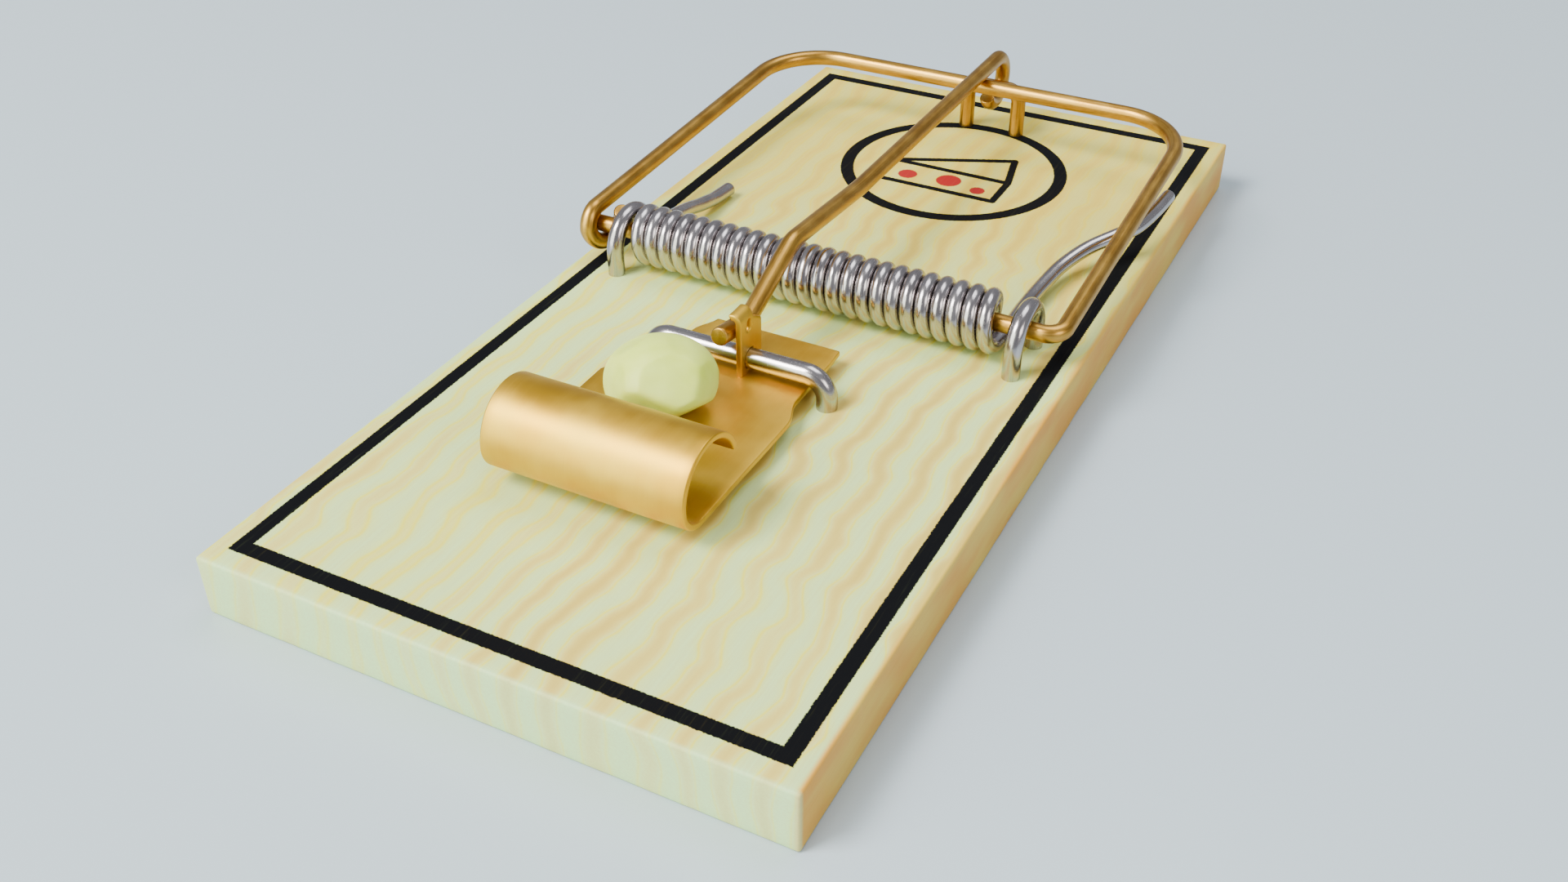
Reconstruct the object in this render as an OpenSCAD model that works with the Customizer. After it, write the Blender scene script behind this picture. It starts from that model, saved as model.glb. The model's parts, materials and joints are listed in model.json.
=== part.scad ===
// Spring mouse trap in its set position: a wooden base with a torsion spring,
// a striker, a hold-down bar and a bait pedal with its catch.
// Frame: origin at the middle of the base's underside, +Z up, +Y towards the
// end that holds the hold-down bar, +X to the right seen from the bait end.

/* [Base] */
// Length of the wooden base along Y
base_length = 98; // [94:1:110]
// Width of the wooden base along X
base_width = 46; // [46:1:60]
// Thickness of the wooden base
base_thickness = 5; // [4.5:0.5:8]
// Depth of the blind holes that hold the staples
staple_depth = 3.5; // [2:0.5:4]

/* [Striker] */
// Diameter of the brass wire of the striker and the hold-down bar
wire_d = 1.5; // [1.3:0.1:1.5]
// Distance from the axle to the crossbar
striker_reach = 38; // [36.5:0.5:38]
// Angle of the crossbar above the axle at rest
striker_rest = 4.5; // [4.5:0.1:5]
// Distance of the left arm from the middle plane
left_arm_x = 21.9; // [21.5:0.1:22.2]
// Distance of the right arm from the middle plane
right_arm_x = 21.3; // [21:0.1:22]
// Bend radius of the two corners of the crossbar
corner_bend = 6.5; // [4:0.5:8]
// Radius of the eye around the axle's free end
eye_r = 1.6; // [1.6:0.1:1.8]

/* [Spring] */
// Height of the axle above the base
axle_height = 3; // [3:0.1:3.1]
// Diameter of the spring wire
spring_d = 1.3; // [1.1:0.1:1.3]
// Radius of the coil at the middle of the wire
coil_r = 2.05; // [1.95:0.05:2.1]
// Length of the fixed coil along the axle
coil_length = 31.6; // [31.5:0.1:31.7]
// Full turns of the fixed coil, before its last part turn
coil_turns = 23; // [16:1:23]

/* [Staples] */
// Diameter of the wire of the axle staples and the hold-down staple
staple_d = 1.5; // [1.3:0.1:1.5]
// Height of the staples above the base
staple_height = 5.5; // [5.4:0.1:5.6]
// Distance of each axle staple from the middle plane
axle_staple_x = 18.45; // [18.4:0.05:18.7]
// Distance of the hold-down staple from the middle of the base
hold_staple_y = 41.3; // [41.3:0.1:42]
// Width of the hold-down staple between the middles of its legs
hold_staple_span = 5.5; // [5:0.5:7]

/* [Trigger] */
// Diameter of the wire of the trigger staple
trigger_d = 1.7; // [1.5:0.1:1.8]
// Width of the trigger staple between the middles of its legs
trigger_span = 15.6; // [14.8:0.1:16]
// Distance of the trigger staple in front of the middle of the base
trigger_y = 13.2; // [13:0.1:13.4]
// Height of the trigger staple's bar above the base, to its middle
trigger_height = 2.6; // [2.6:0.05:2.7]
// Thickness of the pedal sheet and the catch plate
sheet = 0.5; // [0.4:0.05:0.55]
// Width of the pedal's curled front end
pedal_width = 16.6; // [14:0.1:17]
// Radius of the bait
bait_r = 4.35; // [3.8:0.05:4.5]

/* [Hidden] */
$fn = 48;

top_z = base_thickness;
axle_z = top_z + axle_height;

// Sleeves that join lengths of bent wire
collar_proud = 0.01;
collar_length = 0.06;

// Striker: bend at the axle's right end, and how far the eye goes round
axle_bend = 1.5;
eye_sweep = 290;

// Axle staples: round crown as wide as the legs stand apart
axle_staple_span = 5.4;
axle_staple_rise = staple_height - staple_d / 2;

// Hold-down staple and the eye of the bar that hangs on it
hold_staple_z = top_z + staple_height - staple_d / 2 - 0.05;
hold_staple_bend = 1.2;
hold_eye_r = 2.25;
hold_eye_lift = hold_eye_r - wire_d / 2 - staple_d / 2 - 0.05;
hold_eye_end = -150;
hold_yaw = 0.8;

// Bends of the bar from its tip to its back, along Y and in height
hold_tip = [-15.6, top_z + 5.4];
hold_low_bend = [-11, top_z + 4.6];
hold_high_bend = [-3.6, top_z + 8];
hold_slight_bend = [9, top_z + 7.25];
hold_bends = [0, 1.2, 2.5, 20, 0];

// Trigger staple, a little left of the middle plane
trigger_x = -0.5;
trigger_z = top_z + trigger_height;
trigger_bend = 1.8;

// Spring ends: the fixed coil starts at the left, and its last part turn
// stops short of the striker's own end turn
coil_start_x = -17;
coil_start_angle = 25;
coil_stop_angle = -10;
end_turn_gap = 0.15;
end_turn_x = coil_start_x + coil_length + spring_d + end_turn_gap;
end_turn_stop = 270;
rings_per_turn = 14;
spring_sides = 8;

// Middle lines of the two spring tails, heights above the base
fixed_tail = [[-16.9, 15.2, 0.75], [-17, 12.5, 0.9], [-17, 10.9, 1.2],
              [-17, 9.3, 1.55], [-17, 7.8, 1.95], [-17, 6.2, 2.3],
              [-17, 4.5, 2.6], [-17, 3.5, 2.8], [-17, 2.75, 3.05],
              [-17, 2.25, 3.4]];
striker_tail = [[0, 3, 1], [0, 7, 1], [0.3, 11, 1.2], [0.8, 14, 1.5],
                [2, 17, 2], [3.7, 19.4, 2.5], [5, 21.2, 2.8],
                [5.7, 24.5, 3], [6.1, 28, 3.2]];

// Pedal: flat sheet in front of and behind the trigger staple's bar
pedal_top = top_z + 1.5;
pedal_front_x = -1.7;
pedal_rear_x = [-5.5, 5.7];
pedal_rear_y = -7.5;
pedal_neck_x = [-6.5, 5.8];
pedal_neck_y = -10;
pedal_shoulder_y = -15.4;
pedal_wide_y = -18.2;
curl_y = -31.3;
curl_small_r = 2.2;
curl_large_r = 3.6;
curl_lip_angle = 15;

// Catch: upright plate right of the hold-down bar's tip
catch_x = 0.1;
catch_front_y = -14.6;
catch_rear_y = -11.2;
catch_height = 4.7;
catch_curl_r = 0.75;
catch_curl_y = -12.6;
catch_curl_sweep = 120;
window_d = 0.7;
window_back = 1.4;
window_up = 4.1;
foot_back = 0.6;
foot_length = 2;
hinge_gap = 0.05;

// Bait: flattened ball, cut off where it sits on the pedal
bait_half_height = 3.05;
bait_lift = 2.7;
bait_at = [-2.7, -21, pedal_top];
bait_step = 7.5;

// ---- Helpers ------------------------------------------------------------

function heading(pts, i) = atan2(pts[i + 1][1] - pts[i][1],
                                 pts[i + 1][0] - pts[i][0]);
function wrap(a) = a > 180 ? a - 360 : a < -180 ? a + 360 : a;
function turn(pts, i) = (i == 0 || i == len(pts) - 1) ? 0
    : wrap(heading(pts, i) - heading(pts, i - 1));
function setback(pts, bends, i) = bends[i] * tan(abs(turn(pts, i)) / 2);

// Part of a ring of round wire in the XY plane
module wire_arc(r, d, start, sweep) {
    rotate([0, 0, start])
        rotate_extrude(angle = sweep)
            translate([r, 0])
                circle(d = d);
}

// Short sleeve, a hair wider than the wire, around a joint in it. It stands on
// the XY plane's circle of radius r at angle a, along the circle
module collar(r, a, d) {
    rotate([0, 0, a])
        translate([r, 0, 0])
            rotate([90, 0, 0])
                cylinder(d = d + 2 * collar_proud, h = collar_length, center = true);
}

// Round wire in the XY plane through pts, with a bend radius at each point.
// Bends other than right angles get a collar at each end
module bent_wire(pts, bends, d) {
    for (i = [0 : len(pts) - 2]) {
        h = heading(pts, i);
        run = norm(pts[i + 1] - pts[i])
            - setback(pts, bends, i) - setback(pts, bends, i + 1);
        if (run > 0.001)
            translate(pts[i] + setback(pts, bends, i) * [cos(h), sin(h)])
                rotate([0, 90, h])
                    cylinder(d = d, h = run);
    }
    for (i = [1 : len(pts) - 2]) {
        h = heading(pts, i - 1);
        side = sign(turn(pts, i));
        centre = pts[i] - setback(pts, bends, i) * [cos(h), sin(h)]
            + side * bends[i] * [-sin(h), cos(h)];
        translate(centre) {
            wire_arc(bends[i], d, h - 90 * side, turn(pts, i));
            if (abs(turn(pts, i)) != 90)
                for (a = [0, turn(pts, i)])
                    collar(bends[i], h - 90 * side + a, d);
        }
    }
}

// Stands a shape drawn in the XY plane in the YZ plane: x to Y, y to Z
module in_yz() {
    rotate([90, 0, 90]) children();
}

// Staple in the XZ plane, its feet below z = 0
module staple(span, rise, bend, d) {
    rotate([90, 0, 0])
        bent_wire([[-span / 2, -staple_depth], [-span / 2, rise],
                   [span / 2, rise], [span / 2, -staple_depth]],
                  [0, bend, bend, 0], d);
}

// Ring of points around p, square to the direction t
function ring(p, t, r, sides) =
    let (u = cross(t, [1, 0, 0]) / norm(cross(t, [1, 0, 0])), v = cross(t, u))
    [for (k = [0 : sides - 1])
        p + r * (cos(360 * k / sides) * u + sin(360 * k / sides) * v)];

function tangent(path, i) =
    let (a = path[max(i - 1, 0)], b = path[min(i + 1, len(path) - 1)])
    (b - a) / norm(b - a);

// Tube along a path whose direction never lies along X
module swept_wire(path, d, sides) {
    n = len(path);
    points = [for (i = [0 : n - 1])
        each ring(path[i], tangent(path, i), d / 2, sides)];
    walls = [for (i = [0 : n - 2], k = [0 : sides - 1])
        let (m = (k + 1) % sides)
        [i * sides + k, i * sides + m, (i + 1) * sides + m, (i + 1) * sides + k]];
    first = [for (k = [sides - 1 : -1 : 0]) k];
    last = [for (k = [0 : sides - 1]) (n - 1) * sides + k];
    polyhedron(points, concat([first], walls, [last]));
}

// Points of a coil around the axle from one angle to another
function coil(x0, x1, a0, a1) =
    let (n = ceil((a1 - a0) * rings_per_turn / 360))
    [for (i = [0 : n])
        let (a = a0 + (a1 - a0) * i / n)
        [x0 + (x1 - x0) * i / n, coil_r * cos(a), axle_z + coil_r * sin(a)]];

// ---- Base and staples ---------------------------------------------------

module staple_holes(spots, d) {
    for (p = spots)
        translate([p[0], p[1], top_z - staple_depth])
            cylinder(d = d, h = staple_depth + 1);
}

module wooden_base() {
    color("wheat")
        difference() {
            translate([-base_width / 2, -base_length / 2, 0])
                cube([base_width, base_length, base_thickness]);
            staple_holes([for (i = [-1, 1], j = [-1, 1])
                [i * axle_staple_x, j * axle_staple_span / 2]], staple_d);
            staple_holes([for (i = [-1, 1])
                [i * hold_staple_span / 2, hold_staple_y]], staple_d);
            staple_holes([for (i = [-1, 1])
                [trigger_x + i * trigger_span / 2, -trigger_y]], trigger_d);
        }
}

module axle_staple(x) {
    color("silver")
        translate([x, 0, top_z])
            rotate([0, 0, 90])
                staple(axle_staple_span, axle_staple_rise,
                       axle_staple_span / 2, staple_d);
}

module left_axle_staple() {
    axle_staple(-axle_staple_x);
}

module right_axle_staple() {
    axle_staple(axle_staple_x);
}

module hold_down_staple() {
    color("goldenrod")
        translate([0, hold_staple_y, top_z])
            staple(hold_staple_span, hold_staple_z - top_z,
                   hold_staple_bend, staple_d);
}

module trigger_staple() {
    color("silver")
        translate([trigger_x, -trigger_y, top_z])
            staple(trigger_span, trigger_height, trigger_bend, trigger_d);
}

// ---- Spring -------------------------------------------------------------

// Coil with the tail that presses on the base
module torsion_spring() {
    sweep = 360 * coil_turns + 360 + coil_stop_angle - coil_start_angle;
    tail = [for (p = fixed_tail) p + [0, 0, top_z]];
    color("silver")
        swept_wire(concat(tail, coil(coil_start_x, coil_start_x + coil_length,
                                     coil_start_angle, coil_start_angle + sweep)),
                   spring_d, spring_sides);
}

// Last turn of the coil with the tail that pushes up the striker
module spring_striker_tail() {
    tail = [for (p = striker_tail) p + [end_turn_x, 0, top_z]];
    color("silver")
        swept_wire(concat(coil(end_turn_x, end_turn_x,
                               coil_stop_angle, end_turn_stop), tail),
                   spring_d, spring_sides);
}

// ---- Striker ------------------------------------------------------------

// One wire: axle, right arm, crossbar, left arm and the eye around the axle
module striker() {
    lean = asin(eye_r / striker_reach);
    color("goldenrod")
        translate([0, 0, axle_z])
            rotate([striker_rest, 0, 0]) {
                bent_wire([[-left_arm_x - 0.5, 0], [right_arm_x, 0],
                           [right_arm_x, striker_reach], [0, striker_reach]],
                          [0, axle_bend, corner_bend, 0], wire_d);
                translate([0, striker_reach, 0])
                    rotate([-lean, 0, 0])
                        bent_wire([[0, 0], [-left_arm_x, 0],
                                   [-left_arm_x, -striker_reach * cos(lean)]],
                                  [0, corner_bend, 0], wire_d);
                translate([-left_arm_x, 0, 0])
                    in_yz() {
                        wire_arc(eye_r, wire_d, 90 - lean, eye_sweep);
                        collar(eye_r, 90 - lean, wire_d);
                    }
            }
}

// ---- Hold-down bar ------------------------------------------------------

// Bar from its tip under the catch, over the coil, to the eye on its staple
module hold_down_bar() {
    eye = [hold_staple_y, hold_staple_z + hold_eye_lift];
    reach = eye - hold_slight_bend;
    rise = atan2(reach[1], reach[0]) + asin(hold_eye_r / norm(reach));
    touch = eye + hold_eye_r * [-sin(rise), cos(rise)];
    color("peru")
        translate([0, hold_staple_y, 0])
            rotate([0, 0, -hold_yaw])
                translate([0, -hold_staple_y, 0])
                    in_yz() {
                        bent_wire([hold_tip, hold_low_bend, hold_high_bend,
                                   hold_slight_bend, touch],
                                  hold_bends, wire_d);
                        translate(eye) {
                            wire_arc(hold_eye_r, wire_d, 90 + rise,
                                     hold_eye_end - 90 - rise);
                            collar(hold_eye_r, 90 + rise, wire_d);
                        }
                    }
}

// ---- Pedal, catch and bait ----------------------------------------------

// Ring sector with its middle line at radius r, as thick as the sheet
module sheet_arc(r, start, sweep, width) {
    rotate([0, 0, start])
        rotate_extrude(angle = sweep)
            translate([r - sheet / 2, -width / 2])
                square([sheet, width]);
}

// Sheet with a neck inside the trigger staple and a curled front end
module bait_pedal() {
    left = pedal_front_x - pedal_width / 2;
    right = pedal_front_x + pedal_width / 2;
    curl_z = pedal_top - sheet / 2 + curl_small_r;
    color("peru") {
        difference() {
            translate([0, 0, pedal_top - sheet])
                linear_extrude(sheet)
                    polygon([[pedal_rear_x[0], pedal_rear_y],
                             [pedal_rear_x[1], pedal_rear_y],
                             [pedal_neck_x[1], pedal_neck_y],
                             [pedal_neck_x[1], pedal_shoulder_y],
                             [right, pedal_wide_y], [right, curl_y],
                             [left, curl_y], [left, pedal_wide_y],
                             [pedal_neck_x[0], pedal_shoulder_y],
                             [pedal_neck_x[0], pedal_neck_y]]);
            catch_foot();
        }
        translate([pedal_front_x, curl_y, curl_z])
            in_yz()
                sheet_arc(curl_small_r, 180, 90, pedal_width);
        translate([pedal_front_x, curl_y - curl_small_r + curl_large_r, curl_z])
            in_yz()
                sheet_arc(curl_large_r, 180, curl_lip_angle - 180, pedal_width);
    }
}

// Foot of the catch plate, staked through the pedal
module catch_foot() {
    translate([catch_x, catch_front_y + foot_back, pedal_top - sheet])
        cube([sheet, foot_length, sheet]);
}

// Upright plate that turns on the trigger staple and hooks over the bar's tip
module catch_plate() {
    plate_length = catch_rear_y - catch_front_y;
    curl_centre = [catch_x + sheet - catch_curl_r, pedal_top + catch_height];
    color("orange") {
        catch_foot();
        difference() {
            translate([catch_x, catch_front_y, pedal_top])
                cube([sheet, plate_length, catch_height]);
            translate([catch_x - 1, -trigger_y, trigger_z])
                rotate([0, 90, 0])
                    cylinder(d = trigger_d + 2 * hinge_gap, h = sheet + 2);
            translate([catch_x - 1, catch_front_y + window_back,
                       pedal_top + window_up])
                rotate([0, 90, 0])
                    cylinder(d = window_d, h = sheet + 2);
        }
        translate([curl_centre[0], (catch_front_y + catch_curl_y) / 2, curl_centre[1]])
            rotate([90, 0, 0])
                sheet_arc(catch_curl_r - sheet / 2, 0, catch_curl_sweep,
                          catch_curl_y - catch_front_y);
    }
}

module bait() {
    foot = -asin(bait_lift / bait_half_height);
    rim = [for (a = [foot : bait_step : 90 - bait_step / 2])
        [bait_r * cos(a), bait_lift + bait_half_height * sin(a)]];
    color("khaki")
        translate(bait_at)
            rotate_extrude()
                polygon(concat([[0, 0]], rim,
                               [[0, bait_lift + bait_half_height]]));
}

wooden_base();
left_axle_staple();
right_axle_staple();
hold_down_staple();
trigger_staple();
torsion_spring();
spring_striker_tail();
striker();
hold_down_bar();
bait_pedal();
catch_plate();
bait();
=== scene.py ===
"""Looks of a snap mouse trap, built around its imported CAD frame.

Blender works in metres, in the row frame: origin under the middle of the board, +Y towards
the hold-down staple, +Z up. The trap's sizes here are in millimetres and are scaled by MM; the
studio's are in metres.
"""

import json
import math

import bmesh
import bpy
import numpy as np
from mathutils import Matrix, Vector, noise


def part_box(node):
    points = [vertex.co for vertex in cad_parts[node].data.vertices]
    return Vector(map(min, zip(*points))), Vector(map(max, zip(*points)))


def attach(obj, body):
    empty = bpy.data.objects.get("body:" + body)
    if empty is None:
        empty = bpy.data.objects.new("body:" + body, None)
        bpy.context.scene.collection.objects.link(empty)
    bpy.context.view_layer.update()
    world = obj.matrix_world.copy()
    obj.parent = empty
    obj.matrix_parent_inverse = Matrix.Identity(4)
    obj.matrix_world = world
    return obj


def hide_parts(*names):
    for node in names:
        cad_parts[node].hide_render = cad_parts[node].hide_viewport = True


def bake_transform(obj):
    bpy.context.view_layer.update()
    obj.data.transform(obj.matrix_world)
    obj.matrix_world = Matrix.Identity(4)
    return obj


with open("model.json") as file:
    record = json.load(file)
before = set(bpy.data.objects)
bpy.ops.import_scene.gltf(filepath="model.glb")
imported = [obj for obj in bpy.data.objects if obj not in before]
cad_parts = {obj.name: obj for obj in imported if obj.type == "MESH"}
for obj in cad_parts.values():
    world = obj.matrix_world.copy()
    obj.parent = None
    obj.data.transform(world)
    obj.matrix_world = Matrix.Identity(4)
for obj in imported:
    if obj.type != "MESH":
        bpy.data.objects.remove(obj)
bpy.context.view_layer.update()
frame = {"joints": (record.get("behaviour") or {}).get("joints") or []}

MM = 0.001


def box_mm(node):
    """Lowest and highest corner of a CAD node, in millimetres."""
    low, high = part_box(node)
    return low / MM, high / MM


# Places and sizes that come from the frame
PIVOTS = {joint["name"]: Vector(joint["pos_m"]) / MM for joint in frame["joints"]}
AXLE = PIVOTS["striker_swing"]
HOLD = PIVOTS["hold_down_swing"]
TRIGGER = PIVOTS["pedal_tilt"]
BOARD_LOW, BOARD_HIGH = box_mm("wooden_base")
STRIKER_LOW, STRIKER_HIGH = box_mm("striker")
PEDAL_LOW, PEDAL_HIGH = box_mm("bait_pedal")
CATCH_LOW, CATCH_HIGH = box_mm("catch_plate")
BAIT_LOW, BAIT_HIGH = box_mm("bait")
TOP = BOARD_HIGH.z

# Wires
BRASS_R = 0.75
SPRING_R = 0.65
TRIGGER_R = 0.85
WIRE_SIDES = 24
SPRING_SIDES = 20
ARC_STEP = 5
WIRE_STEP = 1.0
END_ROUND = 0.14
HINGE_GAP = 0.05

# Staples
STAPLE_DEPTH = 3.4
AXLE_STAPLE_SPAN = 5.4
HOLD_SPAN = 5.5
HOLD_BEND = 1.2
TRIGGER_SPAN = 15.6
TRIGGER_BEND = 1.8

# Striker
STRIKER_REST = math.radians(4.5)
AXLE_BEND = 1.5
AXLE_OVERHANG = 0.6
CORNER_BEND = 6.5
EYE_R = 1.6
EYE_SWEEP = 300
EYE_ADVANCE = 1.7
EYE_LEVEL_SHARE = 0.3

# Hold-down bar
HOLD_EYE_R = 2.25
HOLD_YAW = math.radians(0.8)
HOLD_EYE_END = -150

# Spring
COIL_R = 2.05
COIL_START_X = -17
COIL_END_X = 16.05
COIL_START_ANGLE = 25
COIL_STOP_ANGLE = 270
COIL_WHOLE_TURNS = 24
COIL_TURNS = COIL_WHOLE_TURNS + (COIL_STOP_ANGLE - COIL_START_ANGLE) / 360
COIL_STEPS_PER_TURN = 40

# Pedal and catch
SHEET = 0.5
SHEET_EDGE = 0.12
CURL_SMALL_R = 2.2
CURL_LARGE_R = 3.6
CURL_LIP = 15
PEDAL_TOP_HEIGHT = 1.5


# ---- Paths ---------------------------------------------------------------------------------

def direction(angle):
    """Unit vector in a plane at an angle in degrees."""
    return math.cos(math.radians(angle)), math.sin(math.radians(angle))


def straight(start, end, step=WIRE_STEP):
    """Points from start up to, but not including, end."""
    count = max(1, round((end - start).length / step))
    return [start.lerp(end, i / count) for i in range(count)]


def rounded(points, bends):
    """Points along a polyline whose inner corners are arcs of the given radii."""
    points = [Vector(p) for p in points]
    path = []
    start = points[0]
    for before, corner, after, radius in zip(points, points[1:], points[2:], bends):
        into = (corner - before).normalized()
        out = (after - corner).normalized()
        angle = into.angle(out)
        setback = radius * math.tan(angle / 2)
        side = (out - into * into.dot(out)).normalized()
        centre = corner - into * setback + side * radius
        first = corner - into * setback
        path += straight(start, first)
        steps = max(2, math.ceil(math.degrees(angle) / ARC_STEP))
        for i in range(steps):
            a = angle * i / steps
            path.append(centre - side * radius * math.cos(a) + into * radius * math.sin(a))
        start = corner + out * setback
    return path + straight(start, points[-1]) + [points[-1]]


def flowing(points, per_span=6):
    """Catmull-Rom curve through points."""
    points = [Vector(p) for p in points]
    padded = [2 * points[0] - points[1], *points, 2 * points[-1] - points[-2]]
    path = []
    for a, b, c, d in zip(padded, padded[1:], padded[2:], padded[3:]):
        for i in range(per_span):
            t = i / per_span
            path.append(0.5 * (2 * b + (c - a) * t + (2 * a - 5 * b + 4 * c - d) * t * t
                               + (3 * b - a - 3 * c + d) * t ** 3))
    return path + [points[-1]]


# ---- Mesh pieces ---------------------------------------------------------------------------

def placed(mesh, sharp=None):
    """Object of a mesh, smooth all over or up to an angle in degrees."""
    mesh.shade_smooth()
    if sharp is not None:
        mesh.set_sharp_from_angle(angle=math.radians(sharp))
    piece = bpy.data.objects.new(mesh.name, mesh)
    bpy.context.scene.collection.objects.link(piece)
    return piece


def new_piece(name, points, faces, sharp=40):
    """Mesh object from points in millimetres, smooth up to an angle in degrees."""
    mesh = bpy.data.meshes.new(name)
    mesh.from_pydata([tuple(Vector(p) * MM) for p in points], [], faces)
    mesh.validate()
    return placed(mesh, sharp)


def new_piece_from(bm, name, sharp=None):
    """Mesh object from a bmesh, which is freed."""
    mesh = bpy.data.meshes.new(name)
    bm.to_mesh(mesh)
    bm.free()
    return placed(mesh, sharp)


def keep_flat(piece, places):
    """Stores where each point lies on the unbent wire or sheet, for the material."""
    layer = piece.data.attributes.new("unbent", "FLOAT_VECTOR", "POINT")
    layer.data.foreach_set("vector", np.array(places, np.float32).ravel())


def tangents_of(path):
    """Unit direction at each point of a path."""
    steps = [(b - a).normalized() for a, b in zip(path, path[1:])]
    inner = [(a + b).normalized() for a, b in zip(steps, steps[1:])]
    return [steps[0], *inner, steps[-1]]


def round_ends(path, radius, edge):
    """Stations (centre, direction, radius) of a wire whose ends are rounded off."""
    tangents = tangents_of(path)
    stations = [(p, t, radius) for p, t in zip(path, tangents)]
    turned = [(edge * (1 - math.cos(a)), edge * (1 - math.sin(a)))
              for a in (0, math.pi / 6, math.pi / 3)]
    first = [(path[0] + tangents[0] * along, tangents[0], radius - less)
             for along, less in turned]
    last = [(path[-1] - tangents[-1] * along, tangents[-1], radius - less)
            for along, less in reversed(turned)]
    stations[0] = (path[0] + tangents[0] * edge, tangents[0], radius)
    stations[-1] = (path[-1] - tangents[-1] * edge, tangents[-1], radius)
    return first + stations + last


def wire(name, path, radius, sides=WIRE_SIDES):
    """Round wire along a path."""
    stations = round_ends(path, radius, END_ROUND)
    points, places = [], []
    across = stations[0][1].orthogonal().normalized()
    travelled = 0
    previous = stations[0][0]
    for centre, along, r in stations:
        across = (across - along * across.dot(along)).normalized()
        other = along.cross(across)
        travelled += (centre - previous).length
        previous = centre
        for k in range(sides):
            c, s = direction(360 * k / sides)
            points.append(centre + (across * c + other * s) * r)
            places.append((travelled, c * radius, s * radius))
    faces = []
    for i in range(len(stations) - 1):
        for k in range(sides):
            m = (k + 1) % sides
            faces.append((i * sides + k, i * sides + m,
                          (i + 1) * sides + m, (i + 1) * sides + k))
    last = (len(stations) - 1) * sides
    faces.append(tuple(reversed(range(sides))))
    faces.append(tuple(range(last, last + sides)))
    piece = new_piece(name, points, faces)
    keep_flat(piece, places)
    return piece


def sheet_loop(left, right, half, edge, columns):
    """Cross-section of a sheet: (across, offset) pairs round a rectangle with round corners."""
    corners = [(right - edge, half - edge, 90), (right - edge, edge - half, 0),
               (left + edge, edge - half, -90), (left + edge, half - edge, -180)]
    loop = [(left + edge + (right - left - 2 * edge) * i / columns, half)
            for i in range(1, columns)]
    for n, (x, y, start) in enumerate(corners):
        for i in range(4):
            c, s = direction(start - 30 * i)
            loop.append((x + edge * c, y + edge * s))
        if n == 1:
            loop += [(right - edge - (right - left - 2 * edge) * i / columns, -half)
                     for i in range(1, columns)]
    return loop


def sheet_metal(name, rows, side, columns=12, dents=0.0):
    """Sheet along rows of (centre, normal, left, right), wide along the vector side."""
    half = SHEET / 2
    distances = [0]
    for (a, *_), (b, *_) in zip(rows, rows[1:]):
        distances.append(distances[-1] + (b - a).length)
    insets = [(SHEET_EDGE, 0), (SHEET_EDGE * 0.5, SHEET_EDGE * 0.13),
              (SHEET_EDGE * 0.13, SHEET_EDGE * 0.5)]
    starts = [(rows[0], rows[1], inset, along) for inset, along in insets]
    ends = [(rows[-1], rows[-2], inset, along) for inset, along in reversed(insets)]
    stations = []
    for here, there, inset, along in starts:
        stations.append((here, here[0].lerp(there[0], along / (there[0] - here[0]).length),
                         inset, 0))
    for i, row in enumerate(rows):
        centre = row[0]
        if i == 0:
            centre = centre.lerp(rows[1][0], SHEET_EDGE / (rows[1][0] - centre).length)
        if i == len(rows) - 1:
            centre = centre.lerp(rows[-2][0], SHEET_EDGE / (rows[-2][0] - centre).length)
        stations.append((row, centre, 0, distances[i]))
    for here, there, inset, along in ends:
        stations.append((here, here[0].lerp(there[0], along / (there[0] - here[0]).length),
                         inset, distances[-1]))
    points, places, count = [], [], 0
    for (_, normal, left, right), centre, inset, travelled in stations:
        loop = sheet_loop(left + inset, right - inset, half - inset,
                          max(SHEET_EDGE - inset, 0.01), columns)
        count = len(loop)
        for across, offset in loop:
            dent = dents * noise.noise(Vector((across * 0.16, travelled * 0.13, 3.1)))
            points.append(centre + side * across + normal * (offset + dent))
            places.append((across, travelled, offset))
    faces = []
    for i in range(len(stations) - 1):
        for k in range(count):
            m = (k + 1) % count
            faces.append((i * count + k, (i + 1) * count + k,
                          (i + 1) * count + m, i * count + m))
    last = (len(stations) - 1) * count
    faces.append(tuple(range(count)))
    faces.append(tuple(reversed(range(last, last + count))))
    piece = new_piece(name, points, faces, sharp=50)
    keep_flat(piece, places)
    fix_normals(piece)
    return piece


def fix_normals(piece):
    """Turns every face outwards."""
    bm = bmesh.new()
    bm.from_mesh(piece.data)
    bmesh.ops.recalc_face_normals(bm, faces=bm.faces)
    bm.to_mesh(piece.data)
    bm.free()


def drop(piece):
    """Removes a helper object and its mesh."""
    mesh = piece.data
    bpy.data.objects.remove(piece)
    bpy.data.meshes.remove(mesh)


def apply_modifiers(piece):
    """Replaces a piece's mesh with the one its modifiers make."""
    graph = bpy.context.evaluated_depsgraph_get()
    made = bpy.data.meshes.new_from_object(piece.evaluated_get(graph))
    old = piece.data
    piece.modifiers.clear()
    piece.data = made
    bpy.data.meshes.remove(old)


def cut(piece, *cutters):
    """Cuts the cutters out of a piece."""
    for cutter in cutters:
        modifier = piece.modifiers.new("cut", "BOOLEAN")
        modifier.operation = "DIFFERENCE"
        modifier.solver = "EXACT"
        modifier.object = cutter
    bpy.context.view_layer.update()
    apply_modifiers(piece)
    for cutter in cutters:
        drop(cutter)


# ---- Materials -----------------------------------------------------------------------------

def linear(red, green, blue):
    """Linear colour from 0 to 255 display values."""
    def one(value):
        value /= 255
        return value / 12.92 if value <= 0.04045 else ((value + 0.055) / 1.055) ** 2.4
    return one(red), one(green), one(blue), 1


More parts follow.
